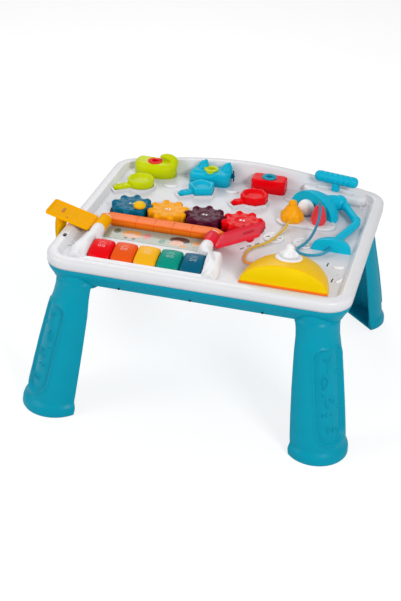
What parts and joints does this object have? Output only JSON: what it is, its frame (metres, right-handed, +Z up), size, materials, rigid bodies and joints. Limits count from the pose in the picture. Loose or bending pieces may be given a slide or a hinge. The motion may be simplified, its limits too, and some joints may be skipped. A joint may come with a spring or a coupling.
{
  "type": "musical activity table",
  "caption": "Toddler activity table: white play tray on a teal casing with four splayed legs, meshing gears, piano keys, folding flaps, locks and keys, a lamp and a sliding handle.",
  "frame": {"origin": "centre of the bounding box's footprint, on the ground", "axes": "+X to the right and +Y to the back as a child in front of the piano keys sees it, +Z up"},
  "size_m": [0.488, 0.47, 0.28],
  "materials": {
    "white_plastic": "glossy moulded plastic",
    "teal_plastic": "satin moulded plastic",
    "steel": "plain steel",
    "lime_plastic": "glossy moulded plastic",
    "blue_plastic": "glossy moulded plastic",
    "red_plastic": "glossy moulded plastic",
    "dark_teal_plastic": "glossy moulded plastic",
    "amber_plastic": "glossy moulded plastic",
    "maroon_plastic": "glossy moulded plastic",
    "yellow_plastic": "glossy moulded plastic",
    "orange_plastic": "glossy moulded plastic",
    "coral_lens": "translucent moulded plastic",
    "printed_sheet": "printed and laminated sheet",
    "pink_plastic": "glossy moulded plastic",
    "green_plastic": "glossy moulded plastic",
    "bulb_plastic": "milky moulded plastic",
    "amber_cord": "soft vinyl cord",
    "blue_cord": "soft vinyl cord",
    "dark_plastic": "matte moulded plastic",
    "board": "printed circuit board",
    "cell": "wrapped dry cells"
  },
  "bodies": {
    "table": {"top_tray": "white_plastic", "base_shell": "teal_plastic", "front_left_leg": "teal_plastic", "front_right_leg": "teal_plastic", "rear_left_leg": "teal_plastic", "rear_right_leg": "teal_plastic", "leg_screws": "steel", "lime_lock": "lime_plastic", "blue_lock": "blue_plastic", "red_lock": "red_plastic", "lime_keyhole": "red_plastic", "blue_keyhole": "lime_plastic", "red_keyhole": "dark_teal_plastic", "propeller": "dark_teal_plastic", "gear_axles": "steel", "light_bar_frame": "orange_plastic", "light_bar_lens": "coral_lens", "light_bar_leds": "bulb_plastic", "picture_panel": "printed_sheet", "key_rod": "steel", "key_contacts": "dark_plastic", "circuit_board": "board", "flap_pins": "steel", "dome_housing": "yellow_plastic", "dome_strip": "orange_plastic", "dome_plate": "white_plastic", "lamp_base": "blue_plastic", "lamp_arm": "blue_plastic", "lamp_shade": "blue_plastic", "lamp_bulb": "bulb_plastic", "amber_plug": "amber_plastic", "red_plug": "pink_plastic", "amber_cord": "amber_cord", "blue_cord": "blue_cord", "plug_holder": "white_plastic", "slide_track": "white_plastic", "speaker": "dark_plastic", "battery_door": "teal_plastic", "battery_cells": "cell", "battery_contacts": "steel", "case_screws": "steel"},
    "lime_key": {"lime_key": "lime_plastic"},
    "blue_key": {"blue_key": "blue_plastic"},
    "red_key": {"red_key": "red_plastic"},
    "teal_gear": {"teal_gear": "dark_teal_plastic", "crank_knob": "yellow_plastic"},
    "amber_gear": {"amber_gear": "amber_plastic"},
    "maroon_gear": {"maroon_gear": "maroon_plastic"},
    "red_gear": {"red_gear": "red_plastic"},
    "piano_key_1": {"piano_key_1": "red_plastic"},
    "piano_key_2": {"piano_key_2": "orange_plastic"},
    "piano_key_3": {"piano_key_3": "amber_plastic"},
    "piano_key_4": {"piano_key_4": "green_plastic"},
    "piano_key_5": {"piano_key_5": "dark_teal_plastic"},
    "left_flap": {"left_flap": "amber_plastic"},
    "right_flap": {"right_flap": "pink_plastic"},
    "slide_handle": {"slide_handle": "blue_plastic", "slide_shoe": "dark_plastic"},
    "dome_knob": {"dome_knob": "white_plastic"},
    "power_switch": {"power_switch": "dark_plastic"}
  },
  "joints": [
    {"name": "lime_key_lift", "type": "slide", "parent": "table", "child": "lime_key", "axis": [0, 0, 1], "range_m": [0, 0.03]},
    {"name": "blue_key_lift", "type": "slide", "parent": "table", "child": "blue_key", "axis": [0, 0, 1], "range_m": [0, 0.03]},
    {"name": "red_key_lift", "type": "slide", "parent": "table", "child": "red_key", "axis": [0, 0, 1], "range_m": [0, 0.03]},
    {"name": "teal_gear_spin", "type": "hinge", "parent": "table", "child": "teal_gear", "pos_m": [-0.14073, 0.009, 0.236], "axis": [0, 0, 1], "continuous": true},
    {"name": "amber_gear_spin", "type": "hinge", "parent": "table", "child": "amber_gear", "pos_m": [-0.08313, 0.009, 0.236], "axis": [0, 0, 1], "continuous": true},
    {"name": "maroon_gear_spin", "type": "hinge", "parent": "table", "child": "maroon_gear", "pos_m": [-0.02553, 0.009, 0.236], "axis": [0, 0, 1], "continuous": true},
    {"name": "red_gear_spin", "type": "hinge", "parent": "table", "child": "red_gear", "pos_m": [0.03207, 0.009, 0.236], "axis": [0, 0, 1], "continuous": true},
    {"name": "piano_key_1_press", "type": "hinge", "parent": "table", "child": "piano_key_1", "pos_m": [-0.14203, -0.1055, 0.2215], "axis": [1, 0, 0], "range_deg": [0, 3.5], "stiffness_Nm_per_rad": 0.5, "springref_deg": -3.44},
    {"name": "piano_key_2_press", "type": "hinge", "parent": "table", "child": "piano_key_2", "pos_m": [-0.10803, -0.1055, 0.2215], "axis": [1, 0, 0], "range_deg": [0, 3.5], "stiffness_Nm_per_rad": 0.5, "springref_deg": -3.44},
    {"name": "piano_key_3_press", "type": "hinge", "parent": "table", "child": "piano_key_3", "pos_m": [-0.07403, -0.1055, 0.2215], "axis": [1, 0, 0], "range_deg": [0, 3.5], "stiffness_Nm_per_rad": 0.5, "springref_deg": -3.44},
    {"name": "piano_key_4_press", "type": "hinge", "parent": "table", "child": "piano_key_4", "pos_m": [-0.04003, -0.1055, 0.2215], "axis": [1, 0, 0], "range_deg": [0, 3.5], "stiffness_Nm_per_rad": 0.5, "springref_deg": -3.44},
    {"name": "piano_key_5_press", "type": "hinge", "parent": "table", "child": "piano_key_5", "pos_m": [-0.00603, -0.1055, 0.2215], "axis": [1, 0, 0], "range_deg": [0, 3.5], "stiffness_Nm_per_rad": 0.5, "springref_deg": -3.44},
    {"name": "left_flap_fold", "type": "hinge", "parent": "table", "child": "left_flap", "pos_m": [-0.16303, -0.068, 0.238], "axis": [0, 1, 0], "range_deg": [0, 164.5]},
    {"name": "right_flap_fold", "type": "hinge", "parent": "table", "child": "right_flap", "pos_m": [0.00197, -0.068, 0.238], "axis": [0, -1, 0], "range_deg": [0, 154]},
    {"name": "slide_handle_run", "type": "slide", "parent": "table", "child": "slide_handle", "axis": [0.9848, -0.1736, 0], "range_m": [-0.026, 0.026]},
    {"name": "dome_knob_turn", "type": "hinge", "parent": "table", "child": "dome_knob", "pos_m": [0.12847, -0.122, 0.2589], "axis": [0, 0.1564, 0.9877], "continuous": true},
    {"name": "power_switch_slide", "type": "slide", "parent": "table", "child": "power_switch", "axis": [0, 1, 0], "range_m": [-0.006, 0.006]}
  ],
  "couplings": [
    {"joint": "amber_gear_spin", "follows": "teal_gear_spin", "ratio": -1},
    {"joint": "maroon_gear_spin", "follows": "teal_gear_spin", "ratio": 1},
    {"joint": "red_gear_spin", "follows": "teal_gear_spin", "ratio": -1}
  ]
}
